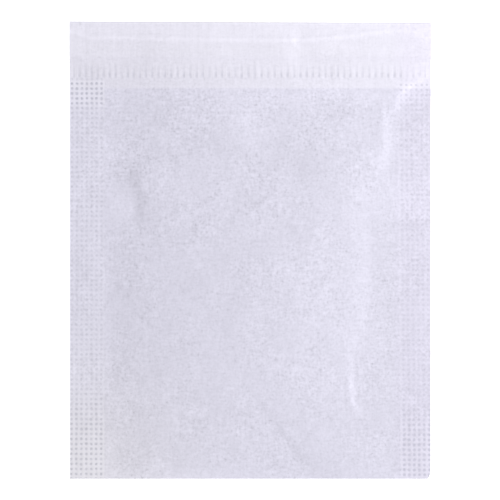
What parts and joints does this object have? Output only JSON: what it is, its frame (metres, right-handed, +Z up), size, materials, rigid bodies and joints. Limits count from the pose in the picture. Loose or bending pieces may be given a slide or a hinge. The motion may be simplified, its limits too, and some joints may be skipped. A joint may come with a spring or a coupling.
{
  "type": "empty tea bag",
  "caption": "Flat empty drawstring bag of heat-sealing filter paper for loose tea, folded at the bottom, dot-sealed sides, thread in the hems.",
  "frame": {"origin": "on the table under the middle of the bag, which lies flat on its back panel", "axes": "+X to the right along the mouth, +Y from the bottom fold to the mouth, +Z up through the front panel"},
  "size_m": [0.055, 0.07, 0.0018],
  "materials": {
    "filter_paper": "matte",
    "thread": "matte"
  },
  "bodies": {
    "root": {"bag_sheet": "filter_paper", "drawstring": "thread"}
  },
  "joints": []
}
